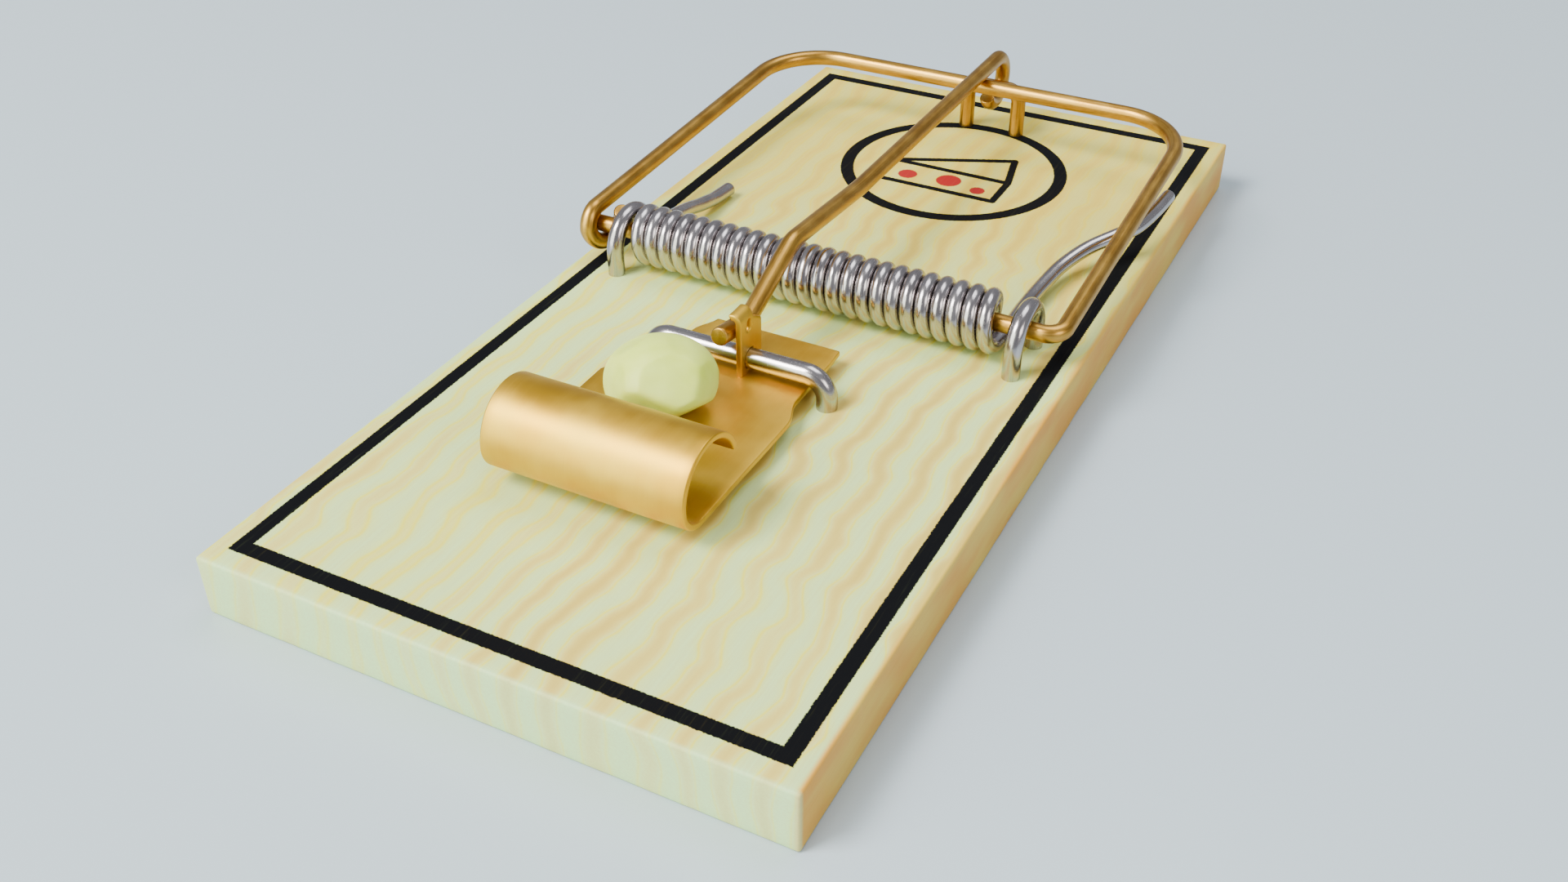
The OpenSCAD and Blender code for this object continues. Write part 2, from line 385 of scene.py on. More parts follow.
class Field:
    """A number that varies over a surface: a node socket with arithmetic."""

    def __init__(self, tree, socket):
        self.tree = tree
        self.socket = socket

    def math(self, operation, *others):
        """This field and the others through one Math node."""
        made = self.tree.nodes.new("ShaderNodeMath")
        made.operation = operation
        for slot, value in zip(made.inputs, (self, *others)):
            put(self.tree, slot, value)
        return Field(self.tree, made.outputs[0])

    def __add__(self, other):
        return self.math("ADD", other)

    def __sub__(self, other):
        return self.math("SUBTRACT", other)

    def __mul__(self, other):
        return self.math("MULTIPLY", other)

    def __truediv__(self, other):
        return self.math("DIVIDE", other)

    def __abs__(self):
        return self.math("ABSOLUTE")

    def greater(self, other):
        """The larger of two fields."""
        return self.math("MAXIMUM", other)

    def lesser(self, other):
        """The smaller of two fields."""
        return self.math("MINIMUM", other)

    def ramp(self, low, high):
        """0 at low, 1 at high, smooth in between."""
        made = self.tree.nodes.new("ShaderNodeMapRange")
        made.interpolation_type = "SMOOTHSTEP"
        put(self.tree, made.inputs["Value"], self)
        made.inputs["From Min"].default_value = low
        made.inputs["From Max"].default_value = high
        return Field(self.tree, made.outputs["Result"])


def put(tree, slot, value):
    """Links a field or socket to a slot, or sets the slot's own value."""
    if isinstance(value, Field):
        tree.links.new(value.socket, slot)
    elif isinstance(value, bpy.types.NodeSocket):
        tree.links.new(value, slot)
    else:
        slot.default_value = value


class Surface:
    """One material's node tree, built by short calls."""

    def __init__(self, name, attribute=None):
        self.material = bpy.data.materials.new(name)
        self.material.use_nodes = True
        self.tree = self.material.node_tree
        self.shader = self.tree.nodes["Principled BSDF"]
        if attribute:
            source = self.tree.nodes.new("ShaderNodeAttribute")
            source.attribute_name = attribute
            self.place = source.outputs["Vector"]
        else:
            source = self.tree.nodes.new("ShaderNodeTexCoord")
            scaled = self.tree.nodes.new("ShaderNodeVectorMath")
            scaled.operation = "SCALE"
            self.tree.links.new(source.outputs["Object"], scaled.inputs[0])
            scaled.inputs["Scale"].default_value = 1 / MM
            self.place = scaled.outputs[0]

    def stretched(self, scale):
        """The surface's coordinates, each multiplied by its own scale."""
        made = self.tree.nodes.new("ShaderNodeVectorMath")
        made.operation = "MULTIPLY"
        self.tree.links.new(self.place, made.inputs[0])
        made.inputs[1].default_value = scale
        return made.outputs[0]

    def axes(self):
        """X, Y and Z in millimetres."""
        split = self.tree.nodes.new("ShaderNodeSeparateXYZ")
        self.tree.links.new(self.place, split.inputs[0])
        return [Field(self.tree, out) for out in split.outputs]

    def noise(self, scale, detail=2.0, roughness=0.5):
        """Noise from 0 to 1 with the given number of lumps a millimetre along each axis."""
        made = self.tree.nodes.new("ShaderNodeTexNoise")
        self.tree.links.new(self.stretched(scale), made.inputs["Vector"])
        made.inputs["Scale"].default_value = 1
        made.inputs["Detail"].default_value = detail
        made.inputs["Roughness"].default_value = roughness
        return Field(self.tree, made.outputs["Fac"])

    def mix(self, factor, first, second):
        """Colour from first at 0 to second at 1."""
        made = self.tree.nodes.new("ShaderNodeMix")
        made.data_type = "RGBA"
        put(self.tree, made.inputs["Factor"], factor)
        put(self.tree, made.inputs["A"], first)
        put(self.tree, made.inputs["B"], second)
        return made.outputs["Result"]

    def shades(self, factor, stops):
        """Colour ramp through (position, colour) stops."""
        made = self.tree.nodes.new("ShaderNodeValToRGB")
        put(self.tree, made.inputs["Fac"], factor)
        elements = made.color_ramp.elements
        while len(elements) < len(stops):
            elements.new(0.5)
        for element, (position, colour) in zip(elements, stops):
            element.position = position
            element.color = colour
        return made.outputs["Color"]

    def bump(self, height, strength, distance):
        """Bumps of a height field, its distance in millimetres."""
        made = self.tree.nodes.new("ShaderNodeBump")
        put(self.tree, made.inputs["Height"], height)
        made.inputs["Strength"].default_value = strength
        made.inputs["Distance"].default_value = distance * MM
        self.tree.links.new(made.outputs["Normal"], self.shader.inputs["Normal"])

    def set(self, **values):
        """Sets the shader's inputs, named with underscores for spaces."""
        for name, value in values.items():
            put(self.tree, self.shader.inputs[name.replace("_", " ")], value)
        return self.material


def metal(name, dark, light, rough_low, rough_high, line_bump):
    """Drawn wire: fine lines along it, soft stains and small specks."""
    made = Surface(name, "unbent")
    lines = made.noise((0.12, 9, 9), detail=3)
    stains = made.noise((0.35, 0.9, 0.9), detail=4, roughness=0.6)
    specks = made.noise((5, 5, 5), detail=2).ramp(0.62, 0.72)
    tone = (lines * 0.35 + stains * 0.65).ramp(0.3, 0.7)
    rough = (lines * 0.5 + stains * 0.5).ramp(0.25, 0.75) * (rough_high - rough_low) + rough_low
    made.bump(lines + specks * 0.25, line_bump, 0.02)
    return made.set(Base_Color=made.mix(tone, dark, light), Metallic=1.0,
                    Roughness=rough + specks * 0.08)


def brass_material():
    """Satin brass of the striker, the hold-down bar and its staple."""
    return metal("satin brass wire", linear(172, 124, 48), linear(204, 160, 76), 0.28, 0.4, 0.12)


def copper_material():
    """Rolled brass sheet, its lines along the strip."""
    made = Surface("satin brass sheet", "unbent")
    lines = made.noise((7, 0.1, 7), detail=3)
    stains = made.noise((0.22, 0.22, 0.22), detail=3)
    tone = (lines * 0.12 + stains * 0.88).ramp(0.3, 0.7)
    rough = (lines * 0.2 + stains * 0.8).ramp(0.25, 0.75) * 0.1 + 0.42
    made.bump(lines, 0.04, 0.02)
    return made.set(Base_Color=made.mix(tone, linear(210, 160, 38), linear(226, 184, 64)),
                    Metallic=1.0, Roughness=rough)


def chrome_material():
    """Bright drawn wire of the spring and the chromed staples."""
    return metal("bright spring wire", linear(164, 156, 157), linear(190, 184, 185),
                 0.17, 0.26, 0.1)


def bait_material():
    """Soft cheese: waxy, slightly see-through, yellower where it is thin."""
    made = Surface("soft cheese")
    cloud = made.noise((0.35, 0.35, 0.35), detail=3)
    pores = made.noise((2.2, 2.2, 2.2), detail=4, roughness=0.6)
    colour = made.shades(cloud, [(0.3, linear(212, 230, 84)), (0.7, linear(226, 244, 122))])
    made.bump(pores * 0.6 + cloud, 0.35, 0.06)
    return made.set(Base_Color=colour, Roughness=pores.ramp(0.2, 0.8) * 0.15 + 0.42,
                    Subsurface_Weight=0.6, Subsurface_Radius=(1.0, 0.9, 0.45),
                    Subsurface_Scale=0.0016)


# Wood: spacing of the bands across the board, length and depth of their zig-zag along it, where
# the rear's warmer tint starts and is full, how deep the painted shade on the right side and the
# painted light on the front face reach, and the colours
BAND_PERIOD = 2.9
BAND_WAVE = 8.5
BAND_SWING = 0.26
REAR_TINT_Y = (-8, 30)
SHADE_AND_LIGHT_DEPTH = 0.5
GRAIN_COLOURS = [(0.0, linear(206, 231, 154)), (0.3, linear(214, 230, 138)),
                 (0.42, linear(234, 226, 76)), (0.54, linear(222, 222, 130)),
                 (0.76, linear(224, 205, 104)), (1.0, linear(213, 186, 84))]
# Painted shade: the right side's darker golden colours, where less light falls on it
SHADED_SIDE_COLOURS = (linear(222, 156, 44), linear(226, 192, 76))
REAR_COLOUR = linear(222, 188, 40)
# Painted light: the front face's brighter mint colour, where the front light falls
LIT_FRONT_COLOUR = linear(196, 246, 190)
FIBRE_COLOUR = linear(190, 156, 84)

# Print on the board, in millimetres
BORDER_INSET = (1.35, 1.73)
BORDER_WIDTH = 1.25
RING_CENTRE = (0.1, 30.6)
RING_R = 10.6
RING_WIDTH = 1.3
LINE_WIDTH = 0.75
INK_SOFT = 0.05
INK_RAGGED = 0.22
BLACK_INK = (0.004, 0.0042, 0.0052, 1)
RED_INK = (0.36, 0.003, 0.003, 1)
# Cheese wedge inside the ring: outline strokes and holes (x, y, radius) from its centre
WEDGE_LINES = [((-6.2, -0.6), (4.9, 4.4)), ((4.9, 4.4), (6.0, -0.6)), ((6.0, -0.6), (-6.2, -0.6)),
               ((-6.2, -0.6), (-6.2, -5.0)), ((-6.2, -5.0), (6.0, -5.0)), ((6.0, -5.0), (6.0, -0.6))]
WEDGE_HOLES = [(-3.6, -3.1, 0.95), (0.6, -2.7, 1.25), (3.9, -3.5, 0.75)]


def segment_distance(made, start, end):
    """Distance in the XY plane from a segment, as a field."""
    x, y, _ = made.axes()
    run = Vector(end) - Vector(start)
    dx = x - (RING_CENTRE[0] + start[0])
    dy = y - (RING_CENTRE[1] + start[1])
    share = ((dx * run.x + dy * run.y) / run.length_squared).greater(0.0).lesser(1.0)
    ex = dx - share * run.x
    ey = dy - share * run.y
    return (ex * ex + ey * ey).math("SQRT")


def centre_distance(made, offset):
    """Distance in the XY plane from a point of the emblem, as a field."""
    x, y, _ = made.axes()
    dx = x - (RING_CENTRE[0] + offset[0])
    dy = y - (RING_CENTRE[1] + offset[1])
    return (dx * dx + dy * dy).math("SQRT")


def ink_masks(made):
    """Black and red ink on the board's top, 0 to 1."""
    x, y, z = made.axes()
    ragged = (made.noise((6, 6, 6), detail=3) - 0.5) * INK_RAGGED
    half = (BOARD_HIGH.x - BORDER_INSET[0], BOARD_HIGH.y - BORDER_INSET[1])
    outside = (abs(x) - half[0]).greater(abs(y) - half[1])
    border = abs(outside + BORDER_WIDTH / 2) - BORDER_WIDTH / 2
    ring = abs(centre_distance(made, (0, 0)) - RING_R) - RING_WIDTH / 2
    black = border.lesser(ring)
    for start, end in WEDGE_LINES:
        black = black.lesser(segment_distance(made, start, end) - LINE_WIDTH / 2)
    red = None
    for hole_x, hole_y, radius in WEDGE_HOLES:
        hole = centre_distance(made, (hole_x, hole_y)) - radius
        red = hole if red is None else red.lesser(hole)
    on_top = z.ramp(TOP - 0.12, TOP - 0.04)
    return [(field + ragged).ramp(INK_SOFT, -INK_SOFT) * on_top for field in (black, red)]


def wood_material():
    """Pale planed softwood with wavy bands along the board, and a printed border and emblem."""
    made = Surface("printed softwood")
    x, y, z = made.axes()
    slow = made.noise((0.05, 0.04, 0.05), detail=1) - 0.5
    kinks = made.noise((0.22, 0.3, 0.22), detail=1) - 0.5
    zigzag = (y * (2 * math.pi / BAND_WAVE) + slow * 14).math("SINE") * BAND_SWING
    phase = (x + slow * 7 + kinks * 1.4 + zigzag) * (2 * math.pi / BAND_PERIOD)
    bands = phase.math("SINE") * 0.5 + 0.5
    strength = made.noise((0.06, 0.045, 0.06), detail=1).ramp(0.3, 0.7)
    grain = made.shades(bands * (strength * 0.5 + 0.5), GRAIN_COLOURS)
    blotches = made.noise((0.3, 0.09, 0.3), detail=2).ramp(0.35, 0.7)
    # Painted shade colour of the right side, uneven in blotches
    side_shade_colour = made.mix(blotches, *SHADED_SIDE_COLOURS)
    sunny = y.ramp(*REAR_TINT_Y) * 0.62
    face = made.mix(sunny, grain, REAR_COLOUR)
    # Painted shade on the right side, mixed in near that face
    side_shade_share = x.ramp(BOARD_HIGH.x - SHADE_AND_LIGHT_DEPTH, BOARD_HIGH.x - 0.1) * 0.95
    # Painted light on the front face, mixed in near that face
    front_light_share = y.ramp(BOARD_LOW.y + SHADE_AND_LIGHT_DEPTH, BOARD_LOW.y + 0.1) * 0.4
    side_shaded = made.mix(side_shade_share, face, side_shade_colour)
    front_lit = made.mix(front_light_share, side_shaded, LIT_FRONT_COLOUR)
    fibres = made.noise((5, 0.18, 5), detail=4, roughness=0.6)
    wood = made.mix((fibres - 0.5) * 0.4 + 0.08, front_lit, FIBRE_COLOUR)
    black, red = ink_masks(made)
    worn = fibres.ramp(0.2, 0.45)
    inked = made.mix(black * (worn * 0.02 + 0.98), wood, BLACK_INK)
    printed = made.mix(red * (worn * 0.1 + 0.9), inked, RED_INK)
    made.bump(fibres + bands * 0.4, 0.3, 0.04)
    return made.set(Base_Color=printed, Roughness=fibres * 0.16 + 0.5,
                    Specular_IOR_Level=black * -0.35 + 0.4)


def floor_material():
    """Pale, slightly cloudy studio floor."""
    made = Surface("pale floor")
    cloud = made.noise((0.004, 0.004, 0.004), detail=2)
    made.shader.inputs["Specular IOR Level"].default_value = 0.4
    return made.set(Base_Color=made.mix(cloud, linear(180, 195, 206), linear(187, 201, 211)),
                    Roughness=cloud * 0.1 + 0.28)


# ---- Base ----------------------------------------------------------------------------------

# Board: size of a grid cell, bevel of its edges, how deep they are worn, and from which angle two
# faces meet in an edge
BOARD_CELL = 1.0
BOARD_EDGE = 0.22
EDGE_WEAR = 0.06
RIM_ANGLE = math.radians(45)


def board_piece():
    """The board as a fine grid with soft, slightly worn edges."""
    size = BOARD_HIGH - BOARD_LOW
    centre = (BOARD_HIGH + BOARD_LOW) / 2
    bm = bmesh.new()
    cells = [round(s / BOARD_CELL) for s in size]
    for axis in range(3):
        u, v = (axis + 1) % 3, (axis + 2) % 3
        for side in (-1, 1):
            grid = {}
            for i in range(cells[u] + 1):
                for j in range(cells[v] + 1):
                    p = [0, 0, 0]
                    p[axis] = side * size[axis] / 2
                    p[u] = size[u] * (i / cells[u] - 0.5)
                    p[v] = size[v] * (j / cells[v] - 0.5)
                    grid[i, j] = bm.verts.new((centre + Vector(p)) * MM)
            for i in range(cells[u]):
                for j in range(cells[v]):
                    quad = [grid[i, j], grid[i + 1, j], grid[i + 1, j + 1], grid[i, j + 1]]
                    bm.faces.new(quad if side > 0 else quad[::-1])
    bmesh.ops.remove_doubles(bm, verts=bm.verts, dist=0.01 * MM)
    rims = [e for e in bm.edges if e.calc_face_angle(0) > RIM_ANGLE]
    for vert in {v for e in rims for v in e.verts}:
        p = vert.co / MM
        worn = EDGE_WEAR * max(0, noise.noise(p * 0.25) + 0.4 * noise.noise(p * 1.1))
        vert.co -= (p - centre).normalized() * worn * MM
    rims = [e for e in bm.edges if e.calc_face_angle(0) > RIM_ANGLE]
    bmesh.ops.bevel(bm, geom=rims, offset=BOARD_EDGE * MM, segments=3, profile=0.5,
                    affect="EDGES")
    return new_piece_from(bm, "board", sharp=50)


def staple_path(centre, span, top, bend, along):
    """Path of a staple over centre, its legs span apart along a direction."""
    low = Vector((centre[0], centre[1], TOP - STAPLE_DEPTH))
    high = Vector((centre[0], centre[1], top))
    step = along * span / 2
    return rounded([low - step, high - step, high + step, low + step], [bend, bend])


def axle_staple(name, node):
    """Round-topped staple over the axle."""
    low, high = box_mm(node)
    x = (low.x + high.x) / 2
    path = staple_path((x, AXLE.y), AXLE_STAPLE_SPAN, high.z - BRASS_R,
                       AXLE_STAPLE_SPAN / 2 - 0.01, Vector((0, 1, 0)))
    return wire(name, path, BRASS_R)


def hold_staple():
    """Low brass staple at the rear, the hold-down bar's hinge."""
    path = staple_path((HOLD.x, HOLD.y), HOLD_SPAN, HOLD.z, HOLD_BEND, Vector((1, 0, 0)))
    return wire("rear_staple", path, BRASS_R)


def trigger_staple():
    """Wide thick staple across the pedal's neck, the pedal's hinge."""
    path = staple_path((TRIGGER.x, TRIGGER.y), TRIGGER_SPAN, TRIGGER.z, TRIGGER_BEND,
                       Vector((1, 0, 0)))
    return wire("front_staple", path, TRIGGER_R)


# ---- Spring --------------------------------------------------------------------------------

# Tails: (x, y, height above the board), the left one lying on it
FIXED_TAIL = [(-16.9, 15.2, 0.75), (-17, 12.5, 0.9), (-17, 10.9, 1.2), (-17, 9.3, 1.55),
              (-17, 7.8, 1.95), (-17, 6.2, 2.3), (-17, 4.5, 2.6), (-17, 3.5, 2.8),
              (-17, 2.75, 3.05), (-17, 2.25, 3.4)]
STRIKER_TAIL = [(16.15, 3, 1), (16.15, 7, 1), (16.45, 11, 1.2), (16.95, 14, 1.5), (18.15, 17, 2),
                (19.85, 19.4, 2.5), (21.15, 21.2, 2.8), (21.85, 24.5, 3), (22.25, 28, 3.2)]


def coil_points():
    """Points of the coil around the axle, from the left."""
    steps = round(COIL_TURNS * COIL_STEPS_PER_TURN)
    points = []
    for i in range(steps + 1):
        c, s = direction(COIL_START_ANGLE + 360 * COIL_TURNS * i / steps)
        x = COIL_START_X + (COIL_END_X - COIL_START_X) * i / steps
        points.append(Vector((x, AXLE.y + COIL_R * c, AXLE.z + COIL_R * s)))
    return points


def spring_piece():
    """One wire: fixed tail, coil and the tail under the striker."""
    coil = coil_points()
    left = [Vector((x, y, TOP + h)) for x, y, h in FIXED_TAIL]
    right = [Vector((x, y, TOP + h)) for x, y, h in STRIKER_TAIL]
    path = flowing(left + [coil[0]])[:-1] + coil + flowing([coil[-1]] + right)[1:]
    return wire("spring", path, SPRING_R, sides=SPRING_SIDES)


# ---- Striker -------------------------------------------------------------------------------

def lifted(points):
    """Turns points of the striker's own plane up about the axle to its rest angle."""
    c, s = math.cos(STRIKER_REST), math.sin(STRIKER_REST)
    return [Vector((p.x, AXLE.y + p.y * c - p.z * s, AXLE.z + p.y * s + p.z * c))
            for p in points]


def striker_piece():
    """One wire: axle, right arm, crossbar, left arm and the eye around the axle."""
    left = STRIKER_LOW.x + BRASS_R
    right = STRIKER_HIGH.x - BRASS_R
    reach = (STRIKER_HIGH.y - BRASS_R) / math.cos(STRIKER_REST)
    lean = math.degrees(math.asin(EYE_R / reach))
    touch_y, touch_z = (EYE_R * v for v in direction(90 - lean))
    frame_path = rounded([(left - AXLE_OVERHANG, 0, 0), (right, 0, 0), (right, reach, 0),
                          (left, reach, 0), (left, touch_y, touch_z)],
                         [AXLE_BEND, CORNER_BEND, CORNER_BEND])
    steps = math.ceil(EYE_SWEEP / ARC_STEP)
    eye = []
    for i in range(1, steps + 1):
        share = i / steps
        c, s = direction(90 - lean + EYE_SWEEP * share)
        drift = EYE_ADVANCE * max(0, share - EYE_LEVEL_SHARE) / (1 - EYE_LEVEL_SHARE)
        eye.append(Vector((left + drift, EYE_R * c, EYE_R * s)))
    return wire("striker_frame", lifted(frame_path + eye), BRASS_R)


# ---- Hold-down bar -------------------------------------------------------------------------

# Bar's corners in the plane through its staple: (y, height above the board)
BAR_CORNERS = [(-15.6, 5.4), (-11, 4.6), (-3.6, 8), (9, 7.25)]
BAR_BENDS = [1.2, 2.5, 20]


def hold_down_piece():
    """One wire: tip, two bends in front of the coil, straight run and hook."""
    corners = [Vector((0, y, TOP + h)) for y, h in BAR_CORNERS]
    eye = Vector((0, HOLD.y, HOLD.z + HOLD_EYE_R - 2 * BRASS_R - HINGE_GAP))
    gap = eye - corners[-1]
    rise = math.degrees(math.atan2(gap.z, gap.y) + math.asin(HOLD_EYE_R / gap.length))
    c, s = direction(90 + rise)
    path = rounded([*corners, eye + Vector((0, c, s)) * HOLD_EYE_R], BAR_BENDS)
    sweep = HOLD_EYE_END - 90 - rise
    steps = math.ceil(abs(sweep) / ARC_STEP)
    for i in range(1, steps + 1):
        c, s = direction(90 + rise + sweep * i / steps)
        path.append(eye + Vector((0, c, s)) * HOLD_EYE_R)
    turned = [Vector((math.sin(HOLD_YAW) * (p.y - HOLD.y),
                      HOLD.y + math.cos(HOLD_YAW) * (p.y - HOLD.y), p.z)) for p in path]
    return wire("hold_down_wire", turned, BRASS_R)


# ---- Pedal, catch and bait -----------------------------------------------------------------

# Pedal's outline: left and right edges at the neck and the rear, and where its width changes
PEDAL_NECK = (-6.5, 5.8)
PEDAL_REAR = (-5.5, 5.7)
PEDAL_TAPER_Y = -10
SHOULDER_Y = (-15.4, -18.4)
PEDAL_ROW = 0.5
SMALL_CURL_STEPS = 14
LARGE_CURL_STEPS = 34


def smooth_step(t):
    """0 to 1 with a soft start and end."""
    t = min(max(t, 0), 1)
    return t * t * (3 - 2 * t)


def pedal_edges(y):
    """Left and right edge of the pedal's flat part at y."""
    wide = smooth_step((SHOULDER_Y[0] - y) / (SHOULDER_Y[0] - SHOULDER_Y[1]))
    narrow = smooth_step((y - PEDAL_TAPER_Y) / (PEDAL_HIGH.y - PEDAL_TAPER_Y))
    edges = []
    for neck, rear, full in zip(PEDAL_NECK, PEDAL_REAR, (PEDAL_LOW.x, PEDAL_HIGH.x)):
        edges.append(neck + (rear - neck) * narrow + (full - neck) * wide)
    return edges


def pedal_piece():
    """Sheet with a neck inside the trigger staple and a curled front end."""
    rest_z = TOP + PEDAL_TOP_HEIGHT - SHEET / 2
    curl_y = PEDAL_LOW.y + SHEET / 2 + CURL_SMALL_R
    curl_z = rest_z + CURL_SMALL_R
    rows = []
    count = round((PEDAL_HIGH.y - curl_y) / PEDAL_ROW)
    for i in range(count):
        y = PEDAL_HIGH.y + (curl_y - PEDAL_HIGH.y) * i / count
        rows.append((Vector((0, y, rest_z)), Vector((0, 0, 1)), *pedal_edges(y)))
    arcs = [(curl_y, CURL_SMALL_R, 270, 180, SMALL_CURL_STEPS),
            (curl_y - CURL_SMALL_R + CURL_LARGE_R, CURL_LARGE_R, 180, CURL_LIP,
             LARGE_CURL_STEPS)]
    for centre_y, radius, first, last, steps in arcs:
        for i in range(steps):
            c, s = direction(first + (last - first) * i / steps)
            rows.append((Vector((0, centre_y + radius * c, curl_z + radius * s)),
                         Vector((0, -c, -s)), PEDAL_LOW.x, PEDAL_HIGH.x))
    c, s = direction(CURL_LIP)
    rows.append((Vector((0, centre_y + radius * c, curl_z + radius * s)), Vector((0, -c, -s)),
                 PEDAL_LOW.x, PEDAL_HIGH.x))
    return sheet_metal("pedal", rows, Vector((1, 0, 0)), columns=24, dents=0.05)


# Catch plate: its place and neck, the curl at its top, and the window (y, z) in it
CATCH_X = 0.35
CATCH_NARROW_Y = -12.6
CATCH_NECK_Z = (10.2, 11.2)
CATCH_CURL_R = 0.5
CATCH_CURL = 120
WINDOW = (-13.3, 10.6)
WINDOW_SIZE = (0.5, 0.35)
CATCH_ROWS = 24
CATCH_CURL_ROWS = 12
CUTTER_SIDES = 32
CUTTER_REACH = 2


def slot_cutter(y, z, length, radius):
    """Bar with round sides along X that cuts a slot, tall along Z."""
    loop = []
    for i in range(CUTTER_SIDES):
        c, s = direction(360 * i / CUTTER_SIDES)
        loop.append((y + radius * c, z + radius * s + math.copysign(length / 2, s)))
    points = [(CATCH_X + x, p, q) for x in (-CUTTER_REACH, CUTTER_REACH) for p, q in loop]
    n = CUTTER_SIDES
    faces = [(i, (i + 1) % n, n + (i + 1) % n, n + i) for i in range(n)]
    faces += [tuple(reversed(range(n))), tuple(range(n, 2 * n))]
    piece = new_piece("cutter", points, faces)
    fix_normals(piece)
    return piece


def catch_piece():
    """Upright plate with a window, turned over at the top to hook the bar's tip."""
    rows = []
    curl_z = CATCH_HIGH.z - CATCH_CURL_R - SHEET / 2
    for i in range(CATCH_ROWS):
        z = CATCH_LOW.z + (curl_z - CATCH_LOW.z) * i / CATCH_ROWS
        narrow = smooth_step((z - CATCH_NECK_Z[0]) / (CATCH_NECK_Z[1] - CATCH_NECK_Z[0]))
        rear = CATCH_HIGH.y + (CATCH_NARROW_Y - CATCH_HIGH.y) * narrow
        rows.append((Vector((CATCH_X, 0, z)), Vector((-1, 0, 0)), CATCH_LOW.y, rear))
    for i in range(CATCH_CURL_ROWS + 1):
        c, s = direction(CATCH_CURL * i / CATCH_CURL_ROWS)
        centre = Vector((CATCH_X - CATCH_CURL_R + CATCH_CURL_R * c, 0, curl_z + CATCH_CURL_R * s))
        rows.append((centre, Vector((-c, 0, -s)), CATCH_LOW.y, CATCH_NARROW_Y))
    piece = sheet_metal("catch", rows, Vector((0, 1, 0)), columns=6)
    cut(piece, slot_cutter(TRIGGER.y, TRIGGER.z, 0, TRIGGER_R + HINGE_GAP),
        slot_cutter(*WINDOW, *WINDOW_SIZE))
    return piece


# Bait: flat patches spread on a spiral, how sharp their rims are, and its half height
BAIT_FACETS = 13
BAIT_SOFT = 22
BAIT_HALF_HEIGHT = 3.05
BAIT_SWELL = 1.08
GOLDEN_ANGLE = 2.39996


def bait_piece():
    """Lump rolled between fingers: a low ball with soft flat patches, resting on the pedal."""
    radius = (BAIT_HIGH.x - BAIT_LOW.x) / 2
    centre = Vector(((BAIT_HIGH.x + BAIT_LOW.x) / 2, (BAIT_HIGH.y + BAIT_LOW.y) / 2,
                     BAIT_HIGH.z - BAIT_HALF_HEIGHT))
    patches = []
    for i in range(BAIT_FACETS):
        z = 1 - 2 * (i + 0.5) / BAIT_FACETS
        angle = i * GOLDEN_ANGLE + 0.7
        flat = math.sqrt(1 - z * z)
        patches.append((Vector((flat * math.cos(angle), flat * math.sin(angle), z)),
                        0.86 + 0.08 * math.sin(i * 2.3 + 0.6)))
    bm = bmesh.new()
    bmesh.ops.create_icosphere(bm, subdivisions=6, radius=1)
    for vert in bm.verts:
        way = vert.co.normalized()
        total = 1 + sum(max(way.dot(n), 0) ** BAIT_SOFT / d ** BAIT_SOFT for n, d in patches)
        lump = total ** (-1 / BAIT_SOFT) + 0.02 * noise.noise(way * 2.3)
        vert.co = way * min(lump * BAIT_SWELL, 1)
        vert.co.x *= radius
        vert.co.y *= radius
        vert.co.z = max(vert.co.z * BAIT_HALF_HEIGHT, BAIT_LOW.z - centre.z)
        vert.co = (vert.co + centre) * MM
    return new_piece_from(bm, "bait_lump")


# ---- Scene ---------------------------------------------------------------------------------

def finish_piece(piece, material, body, slot, *nodes):
    """Gives a piece its finish, the body it moves with and the CAD nodes it stands for."""
    piece.data.materials.clear()
    piece.data.materials.append(material)
    if body:
        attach(piece, body)
    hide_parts(*nodes)


def make_trap():
    """Every piece with its finish, body and CAD nodes."""
    wood = wood_material()
    brass = brass_material()
    copper = copper_material()
    chrome = chrome_material()
    finish_piece(board_piece(), wood, "base", "wood", "wooden_base")
    for side in ("left", "right"):
        node = f"{side}_axle_staple"
        finish_piece(axle_staple(f"{side}_staple", node), chrome, "base", "spring_steel", node)
    finish_piece(hold_staple(), brass, "base", "brass_wire", "hold_down_staple")
    finish_piece(trigger_staple(), chrome, "base", "spring_steel", "trigger_staple")
    finish_piece(striker_piece(), brass, "striker", "brass_wire", "striker")
    finish_piece(hold_down_piece(), brass, "hold_down", "brass_wire", "hold_down_bar")
    finish_piece(pedal_piece(), copper, "pedal", "copper_sheet", "bait_pedal")
    finish_piece(catch_piece(), copper, "pedal", "copper_sheet", "catch_plate")
    finish_piece(bait_piece(), bait_material(), "pedal", "bait", "bait")
    spring = spring_piece()
    finish_piece(spring, chrome, None, "spring_steel", "torsion_spring", "spring_striker_tail")
    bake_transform(spring)


# Camera: it looks at AIM from DISTANCE away, turned and raised by the two angles
AIM = Vector((6.4, -18.7, 5.0))
DISTANCE = 114.3
AZIMUTH = 27.17
ELEVATION = 35.585
LENS = 35


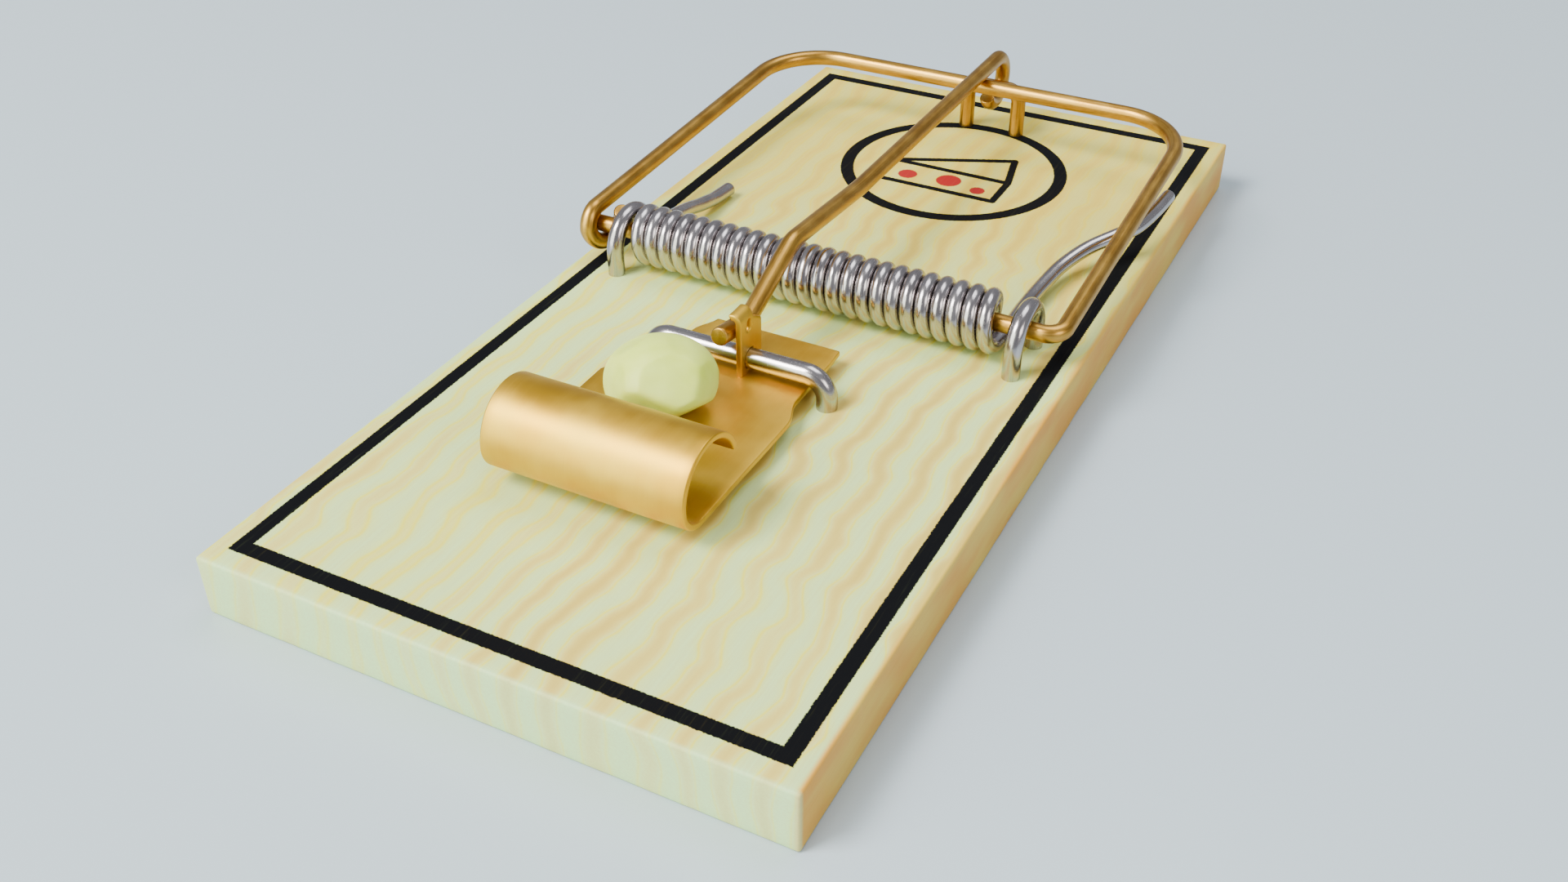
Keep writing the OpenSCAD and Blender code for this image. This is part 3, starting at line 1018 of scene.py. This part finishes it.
def out_from(azimuth, elevation):
    """Unit vector from the object towards a viewer or a light."""
    a, e = math.radians(azimuth), math.radians(elevation)
    return Vector((math.sin(a) * math.cos(e), -math.cos(a) * math.cos(e), math.sin(e)))


def make_camera():
    """Camera at the photograph's viewing angle."""
    data = bpy.data.cameras.new("camera")
    data.lens = LENS
    data.clip_start = 0.005
    camera = bpy.data.objects.new("camera", data)
    back = out_from(AZIMUTH, ELEVATION)
    camera.location = (AIM + back * DISTANCE) * MM
    camera.rotation_euler = (-back).to_track_quat("-Z", "Y").to_euler()
    bpy.context.scene.collection.objects.link(camera)
    bpy.context.scene.camera = camera


def softbox(name, azimuth, elevation, distance, size, power, colour):
    """Square area light that faces the trap."""
    data = bpy.data.lights.new(name, "AREA")
    data.shape = "SQUARE"
    data.size = size
    data.energy = power
    data.color = colour
    light = bpy.data.objects.new(name, data)
    back = out_from(azimuth, elevation)
    light.location = back * distance
    light.rotation_euler = (-back).to_track_quat("-Z", "Y").to_euler()
    bpy.context.scene.collection.objects.link(light)


# Lights: name, azimuth and elevation in degrees, distance, size, power in watts, and colour
SOFTBOXES = [("key", -40, 52, 0.8, 0.3, 9.5, (1.0, 0.99, 0.95)),
             ("front", -28, 22, 0.9, 0.7, 8.6, (0.91, 1.0, 0.84)),
             ("side", 70, 30, 1.0, 0.4, 3.0, (1.0, 0.97, 0.9)),
             ("top", 165, 68, 0.9, 0.5, 4.0, (0.94, 0.97, 1.0))]
WORLD_COLOUR = (0.80, 0.84, 0.90, 1)
WORLD_STRENGTH = 0.46
FLOOR_SIZE = 6
FLOOR_DROP = 0.00002


def make_studio():
    """Floor, four soft lights and an even sky."""
    bpy.ops.mesh.primitive_plane_add(size=FLOOR_SIZE, location=(0, 0, -FLOOR_DROP))
    floor = bpy.context.object
    floor.name = "floor"
    floor.data.materials.append(floor_material())
    for light in SOFTBOXES:
        softbox(*light)
    world = bpy.data.worlds.new("studio")
    world.use_nodes = True
    background = world.node_tree.nodes["Background"]
    background.inputs["Color"].default_value = WORLD_COLOUR
    background.inputs["Strength"].default_value = WORLD_STRENGTH
    bpy.context.scene.world = world


make_camera()
make_studio()
make_trap()
